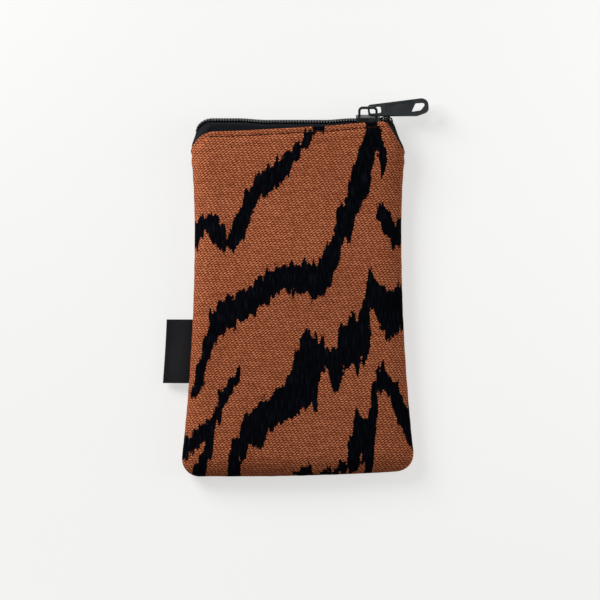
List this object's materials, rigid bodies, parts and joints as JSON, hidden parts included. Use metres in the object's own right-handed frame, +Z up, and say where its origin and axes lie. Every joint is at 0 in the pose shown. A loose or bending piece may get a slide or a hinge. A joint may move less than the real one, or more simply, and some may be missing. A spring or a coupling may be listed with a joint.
{
  "type": "glasses case",
  "caption": "Soft padded glasses case with a tapered outline, a coil zip across its top edge and a folded loop label in its side seam.",
  "frame": {"origin": "middle of the back panel, on the face that rests on the table", "axes": "+X along the zip towards its closed end, +Y towards the mouth, +Z up through the front panel"},
  "size_m": [0.1333, 0.1895, 0.0145],
  "materials": {
    "jacquard": "rust jacquard weave with black tiger stripes",
    "wadding": "bonded wadding",
    "lining": "plain black cotton",
    "tape": "black herringbone zip tape",
    "coil": "black monofilament coil",
    "dark_metal": "satin charcoal",
    "satin": "black satin ribbon"
  },
  "bodies": {
    "case": {"outer_front": "jacquard", "outer_back": "jacquard", "wadding_front": "wadding", "wadding_back": "wadding", "lining_front": "lining", "lining_back": "lining", "loop_label": "satin", "zip_tape_front": "tape", "zip_tape_back": "tape", "coil_end_left_front": "coil", "coil_end_left_back": "coil", "coil_end_right_front": "coil", "coil_end_right_back": "coil"},
    "slider": {"slider": "dark_metal"},
    "puller": {"puller": "dark_metal"},
    "front_edge": {"zip_edge_front": "tape", "coil_front": "coil"},
    "back_edge": {"zip_edge_back": "tape", "coil_back": "coil"}
  },
  "joints": [
    {"name": "slider_slide", "type": "slide", "parent": "case", "child": "slider", "axis": [-1, 0, 0], "range_m": [0, 0.071], "deforming": ["coil_end_left_front", "coil_end_left_back", "coil_end_right_front", "coil_end_right_back", "coil_front", "coil_back"]},
    {"name": "puller_swing", "type": "hinge", "parent": "slider", "child": "puller", "pos_m": [0.0355, 0.0929, 0.00882], "axis": [0.0697, -0.8797, 0.4705], "range_deg": [0, 155]},
    {"name": "front_edge_turn", "type": "hinge", "parent": "case", "child": "front_edge", "pos_m": [0, 0.08648, 0.01191], "axis": [1, 0, 0], "range_deg": [0, 65]},
    {"name": "back_edge_turn", "type": "hinge", "parent": "case", "child": "back_edge", "pos_m": [0, 0.08952, 0.00255], "axis": [-1, 0, 0], "range_deg": [0, 100]}
  ]
}
